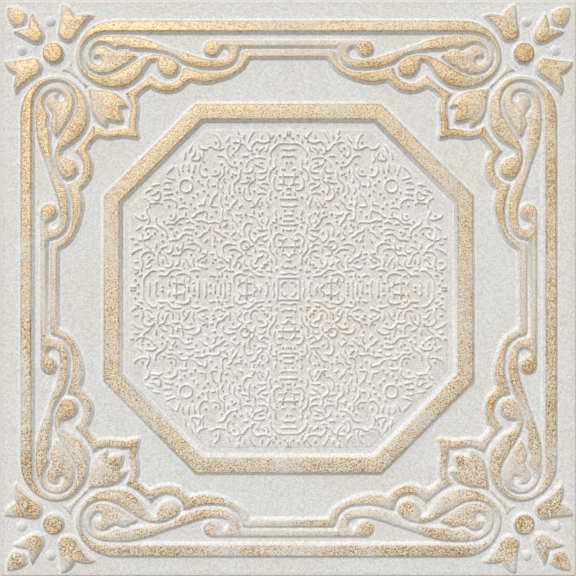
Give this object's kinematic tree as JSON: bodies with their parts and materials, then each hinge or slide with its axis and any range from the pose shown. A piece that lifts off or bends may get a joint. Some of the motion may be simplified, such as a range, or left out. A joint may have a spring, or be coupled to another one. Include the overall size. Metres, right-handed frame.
{
  "type": "polystyrene ceiling tile",
  "caption": "Square moulded foam ceiling tile with a flat back, scroll and flower border, eight-sided moulding and filigree field.",
  "frame": {"origin": "centre of the flat back, in the plane that is glued to the ceiling", "axes": "+Z out of the ornamented face, +X and +Y along two sides of the square"},
  "size_m": [0.5, 0.5, 0.01],
  "materials": {
    "foam": "matte"
  },
  "bodies": {
    "root": {"ceiling_tile": "foam"}
  },
  "joints": []
}
